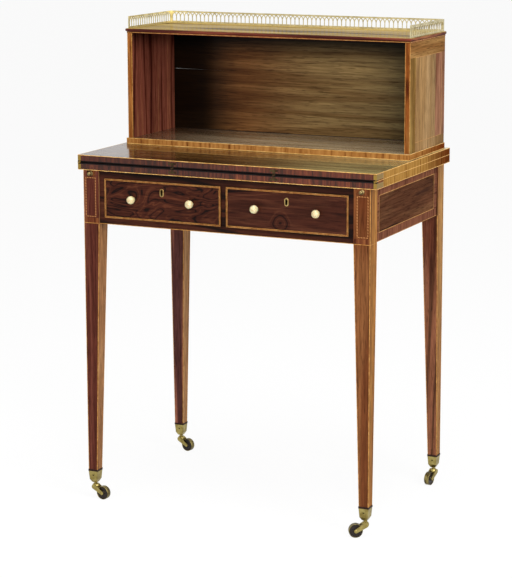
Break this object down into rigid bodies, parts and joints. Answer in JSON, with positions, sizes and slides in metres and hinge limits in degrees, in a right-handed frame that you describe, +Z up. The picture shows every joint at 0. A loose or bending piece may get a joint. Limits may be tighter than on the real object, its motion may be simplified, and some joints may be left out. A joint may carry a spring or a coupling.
{
  "type": "bonheur du jour",
  "caption": "Small writing table with fold-over flap on lopers, frieze drawers, open upper stage with pierced brass gallery, and tapered legs on casters.",
  "frame": {"origin": "on the floor, at the middle of the overall width and depth", "axes": "+X to the sitter's right, +Y from the drawer fronts to the back, +Z up"},
  "size_m": [0.676, 0.44, 1.027],
  "materials": {
    "rosewood": "french polished, dark figured",
    "golden_rosewood": "french polished, faded to golden brown",
    "blackened_wood": "ebonised",
    "oak": "planed, unfinished",
    "leather": "smooth hide",
    "brass": "aged, softly polished",
    "steel": "filed",
    "ivory": "polished"
  },
  "bodies": {
    "table": {"leg_front_left": "golden_rosewood", "leg_front_right": "golden_rosewood", "leg_back_left": "golden_rosewood", "leg_back_right": "golden_rosewood", "leg_collars": "blackened_wood", "caster_sockets": "brass", "socket_screws": "brass", "apron_left": "rosewood", "apron_right": "rosewood", "apron_back": "rosewood", "rail_top_front": "rosewood", "rail_bottom_front": "rosewood", "frieze_stiles": "rosewood", "drawer_partition": "blackened_wood", "drawer_runners": "oak", "drawer_kickers": "oak", "drawer_stops": "oak", "loper_guides": "oak", "fixed_leaf": "rosewood", "fixed_leaf_lining": "leather", "hinge_plates_lower": "brass", "platform": "rosewood", "plinth": "golden_rosewood", "stage_dowels": "oak", "side_left": "golden_rosewood", "side_right": "golden_rosewood", "back_boards": "golden_rosewood", "top_board": "rosewood", "gallery": "brass"},
    "flap": {"flap_leaf": "rosewood", "flap_lining": "leather", "hinge_plates_upper": "brass"},
    "loper_left": {"loper_left": "oak", "loper_knob_left": "brass"},
    "loper_right": {"loper_right": "oak", "loper_knob_right": "brass"},
    "drawer_left": {"drawer_front_left": "rosewood", "drawer_sides_left": "oak", "drawer_back_left": "oak", "drawer_bottom_left": "oak", "drawer_knobs_left": "ivory", "escutcheon_left": "brass", "lock_left": "brass"},
    "lock_bolt_left": {"lock_bolt_left": "steel"},
    "drawer_right": {"drawer_front_right": "rosewood", "drawer_sides_right": "oak", "drawer_back_right": "oak", "drawer_bottom_right": "oak", "drawer_knobs_right": "ivory", "escutcheon_right": "brass", "lock_right": "brass"},
    "lock_bolt_right": {"lock_bolt_right": "steel"},
    "fork_front_left": {"caster_fork_front_left": "brass"},
    "wheel_front_left": {"caster_wheel_front_left": "brass"},
    "fork_front_right": {"caster_fork_front_right": "brass"},
    "wheel_front_right": {"caster_wheel_front_right": "brass"},
    "fork_back_left": {"caster_fork_back_left": "brass"},
    "wheel_back_left": {"caster_wheel_back_left": "brass"},
    "fork_back_right": {"caster_fork_back_right": "brass"},
    "wheel_back_right": {"caster_wheel_back_right": "brass"}
  },
  "joints": [
    {"name": "flap_hinge", "type": "hinge", "parent": "table", "child": "flap", "pos_m": [0, -0.20509, 0.73425], "axis": [1, 0, 0], "range_deg": [0, 180]},
    {"name": "loper_slide_left", "type": "slide", "parent": "table", "child": "loper_left", "axis": [0, -1, 0], "range_m": [0, 0.16]},
    {"name": "loper_slide_right", "type": "slide", "parent": "table", "child": "loper_right", "axis": [0, -1, 0], "range_m": [0, 0.16]},
    {"name": "drawer_slide_left", "type": "slide", "parent": "table", "child": "drawer_left", "axis": [0, -1, 0], "range_m": [0, 0.28]},
    {"name": "lock_bolt_throw_left", "type": "slide", "parent": "drawer_left", "child": "lock_bolt_left", "axis": [0, 0, 1], "range_m": [0, 0.007]},
    {"name": "drawer_slide_right", "type": "slide", "parent": "table", "child": "drawer_right", "axis": [0, -1, 0], "range_m": [0, 0.28]},
    {"name": "lock_bolt_throw_right", "type": "slide", "parent": "drawer_right", "child": "lock_bolt_right", "axis": [0, 0, 1], "range_m": [0, 0.007]},
    {"name": "caster_swivel_front_left", "type": "hinge", "parent": "table", "child": "fork_front_left", "pos_m": [-0.3145, -0.19429, 0.0358], "axis": [0, 0, 1], "continuous": true},
    {"name": "caster_roll_front_left", "type": "hinge", "parent": "fork_front_left", "child": "wheel_front_left", "pos_m": [-0.29456, -0.19586, 0.0145], "axis": [0.0785, 0.9969, 0], "continuous": true},
    {"name": "caster_swivel_front_right", "type": "hinge", "parent": "table", "child": "fork_front_right", "pos_m": [0.3145, -0.19429, 0.0358], "axis": [0, 0, 1], "continuous": true},
    {"name": "caster_roll_front_right", "type": "hinge", "parent": "fork_front_right", "child": "wheel_front_right", "pos_m": [0.29736, -0.2046, 0.0145], "axis": [0.515, -0.8572, 0], "continuous": true},
    {"name": "caster_swivel_back_left", "type": "hinge", "parent": "table", "child": "fork_back_left", "pos_m": [-0.3145, 0.20871, 0.0358], "axis": [0, 0, 1], "continuous": true},
    {"name": "caster_roll_back_left", "type": "hinge", "parent": "fork_back_left", "child": "wheel_back_left", "pos_m": [-0.2948, 0.20523, 0.0145], "axis": [0.1736, 0.9848, 0], "continuous": true},
    {"name": "caster_swivel_back_right", "type": "hinge", "parent": "table", "child": "fork_back_right", "pos_m": [0.3145, 0.20871, 0.0358], "axis": [0, 0, 1], "continuous": true},
    {"name": "caster_roll_back_right", "type": "hinge", "parent": "fork_back_right", "child": "wheel_back_right", "pos_m": [0.31172, 0.1889, 0.0145], "axis": [0.9903, -0.1392, 0], "continuous": true}
  ]
}
